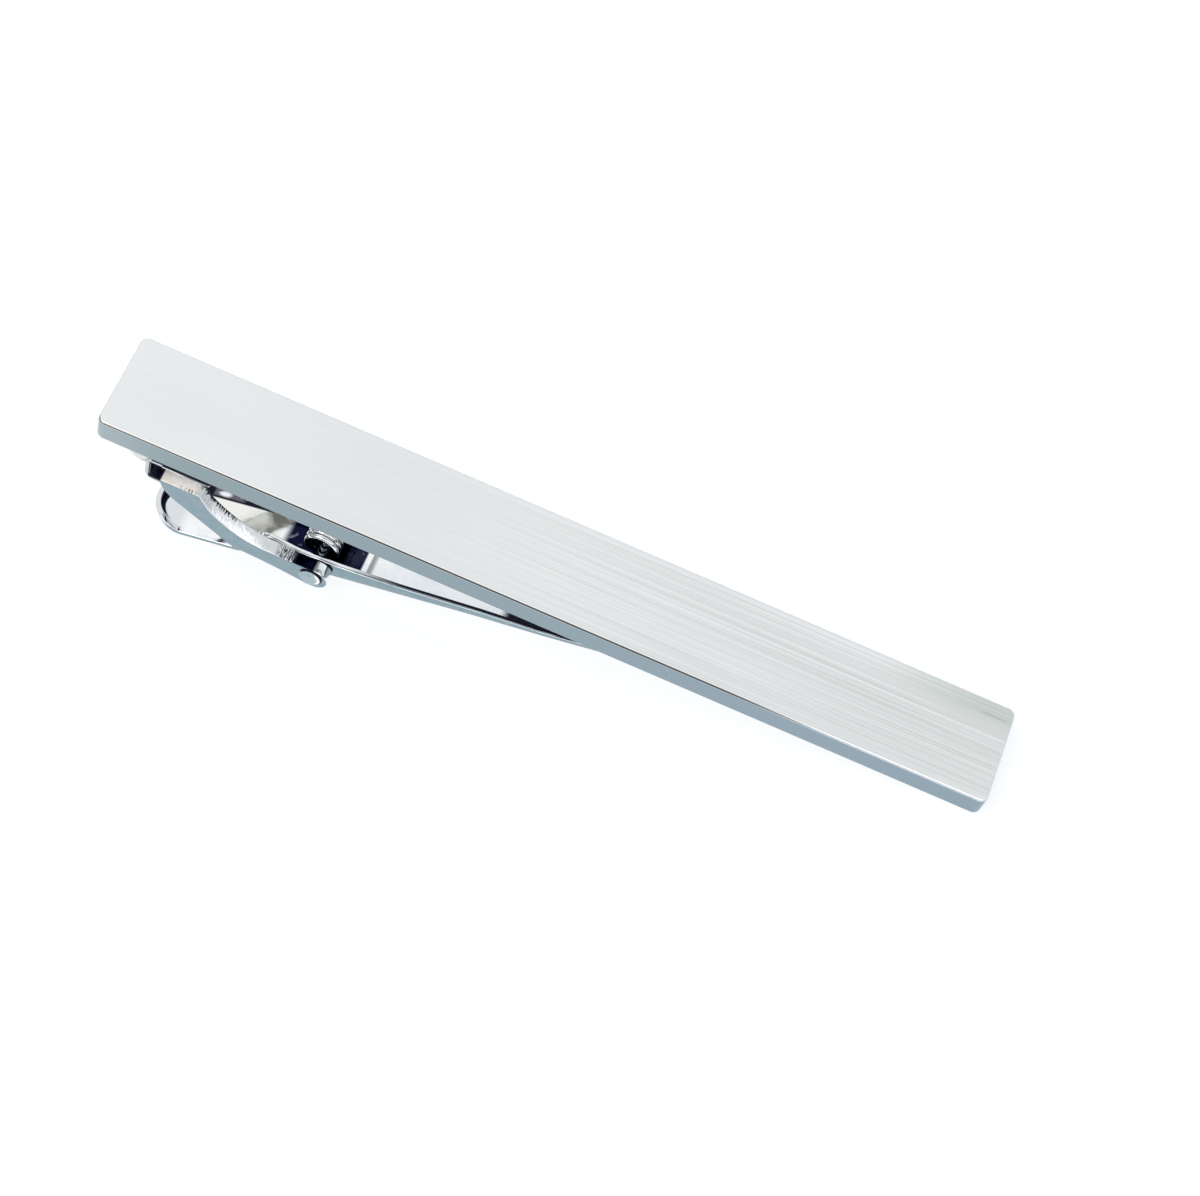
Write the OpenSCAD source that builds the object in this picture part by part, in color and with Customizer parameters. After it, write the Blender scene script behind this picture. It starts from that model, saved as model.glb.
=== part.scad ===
/* [Bar] */
// Length of the bar
bar_l = 55; // [45:0.5:65]
// Width of the bar, from one long edge to the other
bar_w = 6.5; // [6.5:0.1:9]
// Thickness of the bar
bar_t = 1.63; // [1:0.01:2.4]
// Radius of the bar's four corners, seen from the front
bar_corner_r = 0.5; // [0.3:0.05:1.5]
// Size of the chamfer round the front face
bar_chamfer = 0.12; // [0.05:0.01:0.25]

/* [Pivot] */
// Distance from the bar's hinge end to the pivot
pin_inset = 14.08; // [12.9:0.02:16]
// Depth of the pivot's axis behind the bar's back
pin_depth = 5.7; // [5.4:0.02:6.2]
// Radius of the rivet's shank
pin_r = 0.33; // [0.25:0.01:0.36]
// Running clearance of the lever on the shank, on the radius
pin_clear = 0.04; // [0.02:0.01:0.08]
// Radius of the rivet's domed heads
head_r = 0.74; // [0.6:0.01:0.85]
// Height of the rivet's domed heads
head_h = 0.17; // [0.1:0.01:0.19]

/* [Bracket] */
// Width over the two arms
bracket_w = 6.1; // [6:0.02:6.12]
// Thickness of each arm
arm_t = 0.83; // [0.6:0.01:0.85]
// Radius of the rounded end of each arm
ear_r = 0.85; // [0.75:0.01:0.95]
// Thickness of the folded foot
foot_t = 0.34; // [0.25:0.01:0.4]
// Length of the foot's leaf that lies against the bar
foot_l = 3.95; // [3:0.05:5]
// Length of the foot's lower leaf, which joins the two arms
web_l = 3.1; // [2.4:0.05:3.4]
// Distance from the pivot to the outside of the foot's fold
foot_reach = 10.92; // [10.6:0.02:11.4]
// Depth of the arms' flat tops behind the bar's back
pad_depth = 2.14; // [1.9:0.02:2.4]
// Thickness of the solder between the foot and the bar
solder_t = 0.42; // [0.2:0.01:0.5]
// Length of the solder's toe outside the fold
solder_toe = 0.85; // [0.4:0.05:1.2]

/* [Lever] */
// Width of the lever
lever_w = 4.24; // [4.1:0.02:4.3]
// Thickness of the lever's sheet
sheet_t = 0.33; // [0.25:0.01:0.35]
// Distance from the pivot to the end of the thumb tab
tail_l = 11.26; // [10.8:0.02:12]
// Distance from the pivot's axis to the upper face of the floor
floor_drop = 0.67; // [0.65:0.01:0.72]
// Height of the turned-up rim at the thumb end, above the floor
rim_h = 0.55; // [0.3:0.01:0.8]
// Distance from the pivot to the start of the jaw's flat pad
jaw_reach = 24.3; // [22:0.1:27]
// Length of the jaw's flat pad
pad_l = 3.2; // [2.4:0.1:4.5]
// Radius of the bend that lays the pad along the bar
jaw_bend_r = 12; // [8:0.5:16]
// Radius of the bend that turns the jaw's tip away from the bar
lip_r = 1.6; // [1.2:0.1:2.4]
// Gap between the jaw's teeth and the bar's back, shut
jaw_gap = 0.05; // [0.03:0.01:0.2]
// Height of the jaw's teeth
tooth_h = 0.16; // [0.08:0.01:0.25]
// Number of teeth across the jaw's pad
tooth_count = 4; // [3:1:6]

/* [Spring] */
// Diameter of the spring's wire
wire_d = 0.28; // [0.22:0.01:0.28]
// Mean radius of the coil
coil_r = 1; // [0.9:0.01:1.04]
// Rise of the coil in one turn
coil_pitch = 0.73; // [0.71:0.01:0.73]
// Whole turns of the coil, before the part turn that joins its legs
coil_turns = 3; // [2:1:4]
// Length of the leg that lies on the lever's floor
floor_leg_l = 4.2; // [2:0.1:4.6]
// Clearance of the spring from the rivet, the foot and the floor
spring_clear = 0.02; // [0.01:0.01:0.03]

/* [Hidden] */
$fn = 48;
// Overrun that serves every cut
over = 0.5;

// The clip is drawn with the bar's back at z = 0, its front up and the hinge towards -X
pin_x = bar_l / 2 - pin_inset;
wire_r = wire_d / 2;
lever_half = lever_w / 2;

// Slope of the lever: its floor is tangent to the bend that ends on the jaw's pad
pad_face = jaw_gap + tooth_h;
bend_z = pin_depth - pad_face - jaw_bend_r;
slope = atan2(bend_z, jaw_reach)
    + asin((floor_drop + jaw_bend_r) / norm([jaw_reach, bend_z]));
corner_r = 0.9 * sheet_t;

// A point given along and above the lever's axis, as [x, z] from the pivot
function on_lever(p) = [
    p[0] * cos(slope) - p[1] * sin(slope),
    p[0] * sin(slope) + p[1] * cos(slope)
];

// Shut and face up, the clip rests on its thumb end and on the bar's far end
tab_low = on_lever([corner_r - tail_l, corner_r - floor_drop - sheet_t]) - [pin_x, pin_depth];
stance = [bar_l / 2, 0] - tab_low;
tilt = atan2(stance[1], stance[0]) + asin(corner_r / norm(stance));
module as_it_lies() {
    translate([-(bar_t - bar_chamfer) * sin(tilt) / 2, 0, bar_l / 2 * sin(tilt)])
    rotate([0, tilt, 0])
    children();
}

// Sets a solid drawn about the pivot in its place
module at_pivot() {
    as_it_lies()
    translate([-pin_x, 0, -pin_depth])
    children();
}

// Makes a plate of an outline drawn in [x, z], centred on the clip's middle plane
module plate(w) {
    rotate([90, 0, 0])
    linear_extrude(w, center = true)
    children();
}

// Points of an arc about c with radius r, from angle a to angle b
function arc(c, r, a, b, n = 12) =
    [for (i = [0:n]) c + r * [cos(a + (b - a) * i / n), sin(a + (b - a) * i / n)]];

// Points of a cubic curve from p to s, with q and r as its handles
function curve(p, q, r, s, n = 12) =
    [for (i = [0:n]) let (t = i / n, k = 1 - t)
        k * k * k * p + 3 * k * k * t * q + 3 * k * t * t * r + t * t * t * s];

// A slab of length l and width w, with square corners and its long sides' upper edges chamfered
module chamfered_slab(l, w) {
    rotate([90, 0, 90])
    linear_extrude(l, center = true)
    polygon([
        [-w / 2, 0],
        [w / 2, 0],
        [w / 2, bar_t - bar_chamfer],
        [w / 2 - bar_chamfer, bar_t],
        [bar_chamfer - w / 2, bar_t],
        [-w / 2, bar_t - bar_chamfer]
    ]);
}

// The flat front bar, with its front face up: two crossed slabs and four round corners
module bar() {
    inner_l = bar_l - 2 * bar_corner_r;
    inner_w = bar_w - 2 * bar_corner_r;
    color([0.86, 0.86, 0.88])
    as_it_lies() {
        chamfered_slab(inner_l, bar_w);
        rotate([0, 0, 90])
            chamfered_slab(inner_w, bar_l);
        for (sx = [-1, 1], sy = [-1, 1])
            translate([sx * inner_l / 2, sy * inner_w / 2, 0])
            rotate_extrude()
            polygon([
                [0, 0],
                [bar_corner_r, 0],
                [bar_corner_r, bar_t - bar_chamfer],
                [bar_corner_r - bar_chamfer, bar_t],
                [0, bar_t]
            ]);
    }
}

// The folded foot, seen from the side: a leaf along the bar, a round fold and the web below
fold_x = -pin_x - foot_reach;
fold_top_r = 1.3 * foot_t;
fold_low_r = 2 * foot_t;
fold_top = [fold_x + fold_top_r, -solder_t - fold_top_r];
fold_low = [fold_x + fold_low_r, -pad_depth - foot_t + fold_low_r];
module foot_fold() {
    polygon(concat(
        [[fold_x + foot_l, -solder_t]],
        arc(fold_top, fold_top_r, 90, 180),
        arc(fold_low, fold_low_r, 180, 270),
        [[fold_x + web_l, -pad_depth - foot_t]],
        [[fold_x + web_l, -pad_depth]],
        arc(fold_low, fold_low_r - foot_t, 270, 180),
        arc(fold_top, fold_top_r - foot_t, 180, 90),
        [[fold_x + foot_l, -solder_t - foot_t]]
    ));
}

// One arm, seen from the side: points in shares of its length and of its rise over the pivot
arm_l = foot_reach - fold_low_r - foot_t;
arm_rise = pin_depth - pad_depth;
top_share = [[-0.75, 1], [-0.67, 0.67], [-0.51, 0.33], [-0.31, 0.24]];
belly_share = [[-0.02, -0.28], [-0.17, -0.2], [-0.34, -0.13], [-0.5, -0.13]];
heel_share = [[-0.91, 0.57], [-0.96, 0.68], [-0.99, 0.8]];
ear_share = [0.02, -0.04];
module arm_outline() {
    function at(share) = [share[0] * arm_l, share[1] * arm_rise];
    polygon(concat(
        [[-arm_l, arm_rise]],
        curve(at(top_share[0]), at(top_share[1]), at(top_share[2]), at(top_share[3])),
        arc(at(ear_share), ear_r, 90, -90, 24),
        curve(at(belly_share[0]), at(belly_share[1]), at(belly_share[2]), at(belly_share[3])),
        curve(at(heel_share[0]), at(heel_share[1]), at(heel_share[2]), [-arm_l, arm_rise - foot_t], 6)
    ));
}

// The stamped fork: the folded foot, and the two arms with the rivet's holes
module bracket() {
    color([0.72, 0.74, 0.78])
    difference() {
        union() {
            as_it_lies()
                plate(bracket_w)
                foot_fold();
            for (side = [-1, 1])
                at_pivot()
                translate([0, side * (bracket_w - arm_t) / 2, 0])
                plate(arm_t)
                arm_outline();
        }
        at_pivot()
            rotate([90, 0, 0])
            cylinder(h = bracket_w + 2 * over, r = pin_r, center = true);
    }
}

// The solder: a layer under the foot's leaf, and a hollow toe up the outside of the fold
module solder_joint() {
    toe_h = solder_t + fold_top_r;
    color([0.9, 0.9, 0.92])
    as_it_lies()
    difference() {
        plate(bracket_w)
        polygon(concat(
            [for (i = [0:10]) let (s = i / 10) [fold_x - solder_toe * (1 - s), -toe_h * s * s]],
            [[fold_top[0], -toe_h]],
            [[fold_top[0], -solder_t]],
            [[fold_x + foot_l, -solder_t]],
            [[fold_x + foot_l + solder_t, 0]]
        ));
        plate(bracket_w + 2 * over)
            translate(fold_top)
            circle(fold_top_r);
    }
}

// The rivet: a shank through both arms, with a domed head on the outside of each
module pivot_pin() {
    dome_r = (head_r * head_r + head_h * head_h) / (2 * head_h);
    color([0.8, 0.82, 0.86])
    at_pivot()
    rotate([90, 0, 0]) {
        cylinder(h = bracket_w, r = pin_r, center = true);
        for (side = [0, 1])
            mirror([0, 0, side])
            translate([0, 0, bracket_w / 2])
            rotate_extrude()
            intersection() {
                translate([0, head_h - dome_r])
                    circle(dome_r);
                square([head_r, head_h]);
            }
    }
}

// Half of the lever's cross-section: the floor, a round corner and the wall
wall_top = 2.6 * floor_drop;
module half_section() {
    low = floor_drop + sheet_t;
    difference() {
        union() {
            translate([0, -low])
                square([lever_half - corner_r, wall_top + low]);
            translate([0, corner_r - low])
                square([lever_half, wall_top + low - corner_r]);
            translate([lever_half - corner_r, corner_r - low])
                circle(corner_r);
        }
        translate([-over, -floor_drop])
            square([lever_half - sheet_t + over, wall_top + floor_drop + over]);
    }
}

// The line to which the walls are trimmed: shares of the tail or of the jaw, and of the floor's drop
tail_share = [[-0.463, -1], [-0.38, 0.8], [-0.345, 1.7], [-0.295, 2.25], [-0.245, 2.3], [-0.175, 1.75],
    [-0.105, 1.2], [-0.03, 0.95], [0.02, 0.88]];
jaw_share = [[0.022, 0.74], [0.0515, 0.5], [0.218, -0.16], [0.424, -0.5], [0.576, -1]];
strip_end = jaw_reach * cos(slope) + bend_z * sin(slope);
tab_x = lever_half - tail_l;
module wall_trim() {
    polygon(concat(
        [[-tail_l - over, -floor_drop - sheet_t - over]],
        [[-tail_l - over, rim_h - floor_drop]],
        [[-tail_l + sheet_t, rim_h - floor_drop]],
        [[tab_x + sheet_t, -floor_drop]],
        [for (p = tail_share) [p[0] * tail_l, p[1] * floor_drop]],
        [for (p = jaw_share) [p[0] * jaw_reach, p[1] * floor_drop]],
        [[strip_end, -floor_drop]],
        [[strip_end, -floor_drop - sheet_t - over]]
    ));
}

// The channel with its round thumb end, drawn along X before it is turned to its slope
module channel() {
    intersection() {
        union() {
            translate([tab_x, 0, 0])
                rotate([90, 0, 90])
                linear_extrude(strip_end - tab_x)
                for (side = [0, 1])
                    mirror([side, 0])
                    half_section();
            translate([tab_x, 0, 0])
                intersection() {
                    rotate_extrude()
                        half_section_right();
                    translate([-lever_half - over, -lever_half - over, -wall_top - over])
                        cube([lever_half + over, lever_w + 2 * over, 2 * wall_top + 2 * over]);
                }
        }
        plate(lever_w + 2 * over)
            wall_trim();
    }
}

// The part of the half section that lies at a positive radius, for the round thumb end
module half_section_right() {
    intersection() {
        half_section();
        translate([0, -2 * wall_top])
            square([lever_w, 4 * wall_top]);
    }
}

// The jaw's strip, seen from the side on the lever's axis: it bends along the bar, carries the
// teeth, and turns its tip away from the bar
lip_turn = 35;
pad_turn = 90 - slope;
bend_c = [strip_end, -floor_drop - jaw_bend_r];
pad_dir = [cos(slope), -sin(slope)];
pad_up = [sin(slope), cos(slope)];
pad_from = bend_c + jaw_bend_r * pad_up;
lip_c = pad_from + pad_l * pad_dir - lip_r * pad_up;
tooth_l = pad_l / tooth_count;
crest_share = 0.8;
module strip_outline() {
    polygon(concat(
        [[strip_end - sheet_t, -floor_drop - sheet_t]],
        [[strip_end - sheet_t, -floor_drop]],
        arc(bend_c, jaw_bend_r, 90, pad_turn),
        [for (i = [0:tooth_count - 1])
            pad_from + (i + crest_share) * tooth_l * pad_dir + tooth_h * pad_up],
        arc(lip_c, lip_r, pad_turn, pad_turn - lip_turn, 8),
        arc(lip_c, lip_r - sheet_t, pad_turn - lip_turn, pad_turn, 8),
        arc(bend_c, jaw_bend_r - sheet_t, pad_turn, 90)
    ));
}

// The jaw: the strip, with its tip's corners rounded
module jaw() {
    tip_x = lip_c[0] + lip_r * cos(pad_turn - lip_turn);
    tip_r = lever_half / 2;
    intersection() {
        plate(lever_w)
            strip_outline();
        translate([0, 0, -pin_depth])
            linear_extrude(3 * pin_depth)
            union() {
                translate([0, -lever_half])
                    square([tip_x - tip_r, lever_w]);
                translate([0, -tip_r])
                    square([tip_x, lever_half]);
                for (side = [-1, 1])
                    translate([tip_x - tip_r, side * tip_r])
                    circle(tip_r);
            }
    }
}

// The lever: a straight channel that turns on the rivet, with the jaw on its far end
module lever() {
    color([0.78, 0.8, 0.84])
    at_pivot()
    difference() {
        rotate([0, -slope, 0]) {
            channel();
            jaw();
        }
        rotate([90, 0, 0])
            cylinder(h = lever_w + 2 * over, r = pin_r + pin_clear, center = true);
    }
}

// The spring's route: a straight leg along the floor, the coil, and a straight leg up to the web
coil_rise = coil_r - wire_r - pin_r - spring_clear;
coil_c = on_lever([0, coil_rise]);
web_tip = [web_l / 2 - foot_reach, arm_rise - foot_t - wire_r - spring_clear];
to_tip = web_tip - coil_c;
leg_rise = atan2(to_tip[1], -to_tip[0]) - asin(coil_r / norm(to_tip));
web_leg_l = sqrt(to_tip * to_tip - coil_r * coil_r);
coil_from = slope - 90;
coil_to = 90 - leg_rise + 360 * coil_turns;
coil_l = coil_pitch * (coil_to - coil_from) / 360;
coil_steps = ceil((coil_to - coil_from) / 45);
function coil_at(s) =
    let (a = coil_from + (coil_to - coil_from) * s)
    [coil_c[0] + coil_r * cos(a), coil_l * (s - 1 / 2), coil_c[1] + coil_r * sin(a)];
floor_dir = -[cos(slope), 0, sin(slope)];
web_dir = [-cos(leg_rise), 0, sin(leg_rise)];
route = concat(
    [coil_at(0) + floor_leg_l * floor_dir],
    [coil_at(0) + (floor_leg_l - wire_d) * floor_dir],
    [coil_at(0) + wire_d * floor_dir],
    [for (i = [0:coil_steps]) coil_at(i / coil_steps)],
    [coil_at(1) + wire_d * web_dir],
    [coil_at(1) + (web_leg_l - wire_d) * web_dir],
    [coil_at(1) + web_leg_l * web_dir]
);

// The least gap between two turns, or a turn and a leg, measured between the route's points
turn_gap = min([for (i = [0:len(route) - 6], j = [i + 5:len(route) - 1]) norm(route[i] - route[j])]) - wire_d;
echo(str("least gap of the spring to itself: ", turn_gap, " mm"));  // torsion_spring

// A round tube along a route that runs across the Y axis
module tube(path, r, sides = 6) {
    last = len(path) - 1;
    function unit(v) = v / norm(v);
    points = [for (i = [0:last])
        let (t = unit(path[min(i + 1, last)] - path[max(i - 1, 0)]))
        let (a = unit(cross(t, [0, 1, 0])))
        let (b = cross(t, a))
        for (k = [0:sides - 1])
            path[i] + r * (cos(360 * k / sides) * a + sin(360 * k / sides) * b)];
    faces_a = [for (i = [0:last - 1], k = [0:sides - 1])
        [i * sides + k, i * sides + (k + 1) % sides, (i + 1) * sides + k]];
    faces_b = [for (i = [0:last - 1], k = [0:sides - 1])
        [i * sides + (k + 1) % sides, (i + 1) * sides + (k + 1) % sides, (i + 1) * sides + k]];
    near_end = [for (k = [1:sides - 2]) [0, k + 1, k]];
    far_end = [for (k = [1:sides - 2]) [last * sides, last * sides + k, last * sides + k + 1]];
    polyhedron(points, concat(faces_a, faces_b, near_end, far_end));
}

// The wire spring round the rivet, which holds the jaw shut
module torsion_spring() {
    color([0.7, 0.7, 0.72])
    at_pivot()
    tube(route, wire_r);
}

bar();
solder_joint();
bracket();
lever();
pivot_pin();
torsion_spring();
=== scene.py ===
import math

import bmesh
import bpy
import numpy as np
from mathutils import Matrix, Vector


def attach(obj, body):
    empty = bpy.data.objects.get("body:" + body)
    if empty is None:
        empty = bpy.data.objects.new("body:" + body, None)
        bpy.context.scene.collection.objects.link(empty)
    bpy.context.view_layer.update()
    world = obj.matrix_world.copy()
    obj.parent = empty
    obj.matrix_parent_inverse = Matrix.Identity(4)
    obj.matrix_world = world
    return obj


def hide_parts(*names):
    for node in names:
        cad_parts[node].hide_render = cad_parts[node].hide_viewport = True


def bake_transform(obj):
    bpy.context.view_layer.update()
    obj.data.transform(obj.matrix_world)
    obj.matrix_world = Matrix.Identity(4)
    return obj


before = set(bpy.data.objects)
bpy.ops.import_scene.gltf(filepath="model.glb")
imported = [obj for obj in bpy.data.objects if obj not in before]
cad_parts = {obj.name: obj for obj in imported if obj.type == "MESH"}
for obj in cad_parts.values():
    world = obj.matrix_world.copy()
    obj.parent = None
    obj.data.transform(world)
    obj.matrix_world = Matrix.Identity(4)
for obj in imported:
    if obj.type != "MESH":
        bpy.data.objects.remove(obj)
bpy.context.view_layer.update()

# Sizes in millimetres. The clip is drawn with the bar's back at z = 0, its front up and the hinge
# towards -X, and then laid down: AS_IT_LIES turns millimetres of that drawing into metres as it lies.
MM = 0.001
BAR_L, BAR_W, BAR_T = 55.0, 6.5, 1.63
BAR_CORNER, BAR_EDGE, BAR_BACK_EDGE, CAD_CHAMFER = 0.5, 0.16, 0.08, 0.12
PIN = (-13.42, -5.7)
PIN_R, PIN_CLEAR, HEAD_R, HEAD_H = 0.33, 0.04, 0.74, 0.17
BRACKET_W, ARM_T, EAR_R = 6.1, 0.83, 0.85
FOOT_T, FOOT_L, WEB_L, FOOT_REACH, PAD_DEPTH = 0.34, 3.95, 3.1, 10.92, 2.14
SOLDER_T, SOLDER_TOE, CUT_ROLL = 0.42, 1.4, 0.32
LEVER_W, SHEET_T, TAIL_L, FLOOR_DROP, RIM_H = 4.24, 0.33, 11.26, 0.67, 0.55
JAW_REACH, PAD_L, JAW_BEND_R, LIP_R, LIP_TURN = 24.3, 3.2, 12.0, 1.6, 35.0
JAW_GAP, TOOTH_H, TOOTH_COUNT = 0.05, 0.16, 4
WIRE_D, COIL_R, COIL_PITCH, COIL_TURNS, FLOOR_LEG, SPRING_CLEAR = 0.31, 1.0, 0.36, 7, 4.2, 0.02

ARM_RISE = -PIN[1] - PAD_DEPTH
BEND_Z = -PIN[1] - JAW_GAP - TOOTH_H - JAW_BEND_R
BEND_LIFT = math.asin((FLOOR_DROP + JAW_BEND_R) / math.hypot(JAW_REACH, BEND_Z))
SLOPE = math.atan2(BEND_Z, JAW_REACH) + BEND_LIFT
CORNER_R = 0.9 * SHEET_T
HALF = LEVER_W / 2


def on_lever(u, v):
    """A point along and above the lever's axis, as x, z from the pivot."""
    return (u * math.cos(SLOPE) - v * math.sin(SLOPE), u * math.sin(SLOPE) + v * math.cos(SLOPE))


# The clip stands on the bar's far end and on the thumb end, whose round lower corner is centred on low
low = on_lever(CORNER_R - TAIL_L, CORNER_R - FLOOR_DROP - SHEET_T)
stance = (BAR_L / 2 - low[0] - PIN[0], -low[1] - PIN[1])
TILT = math.atan2(stance[1], stance[0]) + math.asin(CORNER_R / math.hypot(*stance))
AS_IT_LIES = (
    Matrix.Scale(MM, 4)
    @ Matrix.Translation((-(BAR_T - CAD_CHAMFER) * math.sin(TILT) / 2, 0, BAR_L / 2 * math.sin(TILT)))
    @ Matrix.Rotation(TILT, 4, "Y")
)
ABOUT_PIVOT = AS_IT_LIES @ Matrix.Translation((PIN[0], 0, PIN[1]))
ON_LEVER = ABOUT_PIVOT @ Matrix.Rotation(-SLOPE, 4, "Y")


# Points, faces and mesh work

POINT_MERGE = 0.0004


def arc(c, r, a, b, n):
    """Points of an arc about c from angle a to angle b, in degrees."""
    turns = [math.radians(a + (b - a) * i / n) for i in range(n + 1)]
    return [(c[0] + r * math.cos(turn), c[1] + r * math.sin(turn)) for turn in turns]


def curve(p, q, r, s, n):
    """Points of a cubic curve from p to s with handles q and r."""
    points = []
    for i in range(n + 1):
        t = i / n
        k = 1 - t
        weights = (k * k * k, 3 * k * k * t, 3 * k * t * t, t * t * t)
        points.append(tuple(sum(w * end[j] for w, end in zip(weights, (p, q, r, s))) for j in (0, 1)))
    return points


def ring_faces(count, size, looped=False, closed=True):
    """Faces between count rings of size points. The last ring joins the first one if they're looped."""
    faces = []
    for k in range(count if looped else count - 1):
        after = (k + 1) % count
        for i in range(size if closed else size - 1):
            beside = (i + 1) % size
            faces.append((k * size + i, k * size + beside, after * size + beside, after * size + i))
    return faces


def place(name, data):
    """A new object in the scene for a mesh, a lamp or a camera."""
    obj = bpy.data.objects.new(name, data)
    bpy.context.scene.collection.objects.link(obj)
    return obj


def new_object(name, verts, faces):
    """A new mesh object of these points and faces."""
    mesh = bpy.data.meshes.new(name)
    mesh.from_pydata([tuple(v) for v in verts], [], faces)
    return place(name, mesh)


def tube(name, rings):
    """Rings of points joined into a solid with a face over each end. Its faces are turned by mend."""
    n = len(rings[0])
    verts = [point for ring in rings for point in ring]
    ends = [tuple(range(n)), tuple(reversed(range(len(verts) - n, len(verts))))]
    return new_object(name, verts, ends + ring_faces(len(rings), n))


def slab(name, outline, opposite):
    """Two outlines with as many points each, joined into a solid."""
    n = len(outline)
    faces = [tuple(range(n)), tuple(reversed(range(n, 2 * n)))]
    faces += [(i + n, (i + 1) % n + n, (i + 1) % n, i) for i in range(n)]
    return new_object(name, outline + opposite, faces)


def plate(name, outline, width):
    """A closed outline in x, z made into a plate of that width across Y."""
    return slab(name, [(x, -width / 2, z) for x, z in outline], [(x, width / 2, z) for x, z in outline])


def revolve(name, profile, sides):
    """A closed profile of radius and height, turned about the Y axis."""
    verts = []
    for k in range(sides):
        a = 2 * math.pi * k / sides
        verts += [(r * math.cos(a), y, r * math.sin(a)) for r, y in profile]
    return new_object(name, verts, ring_faces(sides, len(profile), looped=True, closed=False))


def bake(obj):
    """Writes an object's modifiers into its mesh."""
    bpy.context.view_layer.update()
    done = bpy.data.meshes.new_from_object(obj.evaluated_get(bpy.context.evaluated_depsgraph_get()))
    obj.modifiers.clear()
    obj.data = done


def boolean(obj, other, operation):
    """Joins other to obj, or cuts it out of obj, in the mesh itself."""
    mod = obj.modifiers.new("boolean", "BOOLEAN")
    mod.operation = operation
    mod.solver = "EXACT"
    mod.object = other
    bake(obj)
    bpy.data.objects.remove(other, do_unlink=True)


def bevel(obj, width, segments, angle):
    """Rounds the edges of an object's mesh that are sharper than the angle in degrees."""
    mod = obj.modifiers.new("bevel", "BEVEL")
    mod.width = width
    mod.segments = segments
    mod.limit_method = "ANGLE"
    mod.angle_limit = math.radians(angle)
    mod.use_clamp_overlap = True
    mod.miter_outer = "MITER_ARC"
    bake(obj)


def mend(obj, merge=None, flat=None):
    """Merges near points, joins faces that are flat within some degrees and turns all faces outwards."""
    bm = bmesh.new()
    bm.from_mesh(obj.data)
    if merge:
        bmesh.ops.remove_doubles(bm, verts=bm.verts, dist=merge)
    if flat:
        limit = math.radians(flat)
        bmesh.ops.dissolve_limit(bm, angle_limit=limit, verts=bm.verts, edges=bm.edges, delimit=set())
    bmesh.ops.recalc_face_normals(bm, faces=bm.faces)
    bm.to_mesh(obj.data)
    bm.free()


def finish_mesh(obj, matrix, body, replaced, smooth):
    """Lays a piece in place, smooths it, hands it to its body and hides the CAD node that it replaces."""
    mend(obj)
    obj.data.transform(matrix)
    obj.data.shade_smooth()
    obj.data.set_sharp_from_angle(angle=math.radians(smooth))
    mod = obj.modifiers.new("weighted normals", "WEIGHTED_NORMAL")
    mod.mode = "FACE_AREA"
    mod.weight = 100
    mod.keep_sharp = True
    if body:
        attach(obj, body)
    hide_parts(replaced)
    return obj


# The bar

BACK_EDGE_STEPS, FRONT_EDGE_STEPS, BAR_CORNER_STEPS = 4, 6, 14


def make_bar():
    """A bar with round corners and edges, as rings of points from its back to its front."""
    levels = arc((BAR_BACK_EDGE, BAR_BACK_EDGE), BAR_BACK_EDGE, 270, 180, BACK_EDGE_STEPS)
    levels += arc((BAR_EDGE, BAR_T - BAR_EDGE), BAR_EDGE, 180, 90, FRONT_EDGE_STEPS)
    rings = []
    for inset, z in levels:
        ring = []
        for k, (sx, sy) in enumerate(((1, 1), (-1, 1), (-1, -1), (1, -1))):
            centre = (sx * (BAR_L / 2 - BAR_CORNER), sy * (BAR_W / 2 - BAR_CORNER))
            corner = arc(centre, BAR_CORNER - inset, 90 * k, 90 * k + 90, BAR_CORNER_STEPS)
            ring += [(x, y, z) for x, y in corner]
        rings.append(ring)
    return finish_mesh(tube("front_bar", rings), AS_IT_LIES, "bar", "bar", smooth=40.0)


# The stamped fork

FOLD_X = PIN[0] - FOOT_REACH
FOLD_TOP_R = 1.3 * FOOT_T
FOLD_LOW_R = 2.0 * FOOT_T
FOLD_TOP = (FOLD_X + FOLD_TOP_R, -SOLDER_T - FOLD_TOP_R)
FOLD_LOW = (FOLD_X + FOLD_LOW_R, -PAD_DEPTH - FOOT_T + FOLD_LOW_R)
ARM_L = FOOT_REACH - FOLD_LOW_R - FOOT_T
FORK_EDGE, FORK_EDGE_STEPS, FORK_EDGE_ANGLE = 0.075, 4, 32.0
FORK_MERGE, FORK_FLAT = 0.002, 1.0

# The arm's curves, as shares of its length and its rise, then the steps of its curves and of the fold's
ARM_TOP = ((-0.75, 1), (-0.67, 0.67), (-0.51, 0.33), (-0.31, 0.24))
ARM_EAR = (0.02, -0.04)
ARM_BELLY = ((-0.02, -0.28), (-0.17, -0.2), (-0.34, -0.13), (-0.5, -0.13))
ARM_HEEL = ((-0.91, 0.57), (-0.96, 0.68), (-0.99, 0.8))
TOP_STEPS, EAR_STEPS, BELLY_STEPS, HEEL_STEPS = 28, 40, 20, 12
FOLD_TOP_STEPS, FOLD_LOW_STEPS, INNER_LOW_STEPS, INNER_TOP_STEPS = 14, 18, 14, 10

# The rolled cut edge: where it starts and ends along the arm, and how fast it comes and goes
ROLL_FROM, ROLL_TO, ROLL_IN, ROLL_OUT = -0.75 * ARM_L, -0.22 * ARM_L, 7, 2.2


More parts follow.
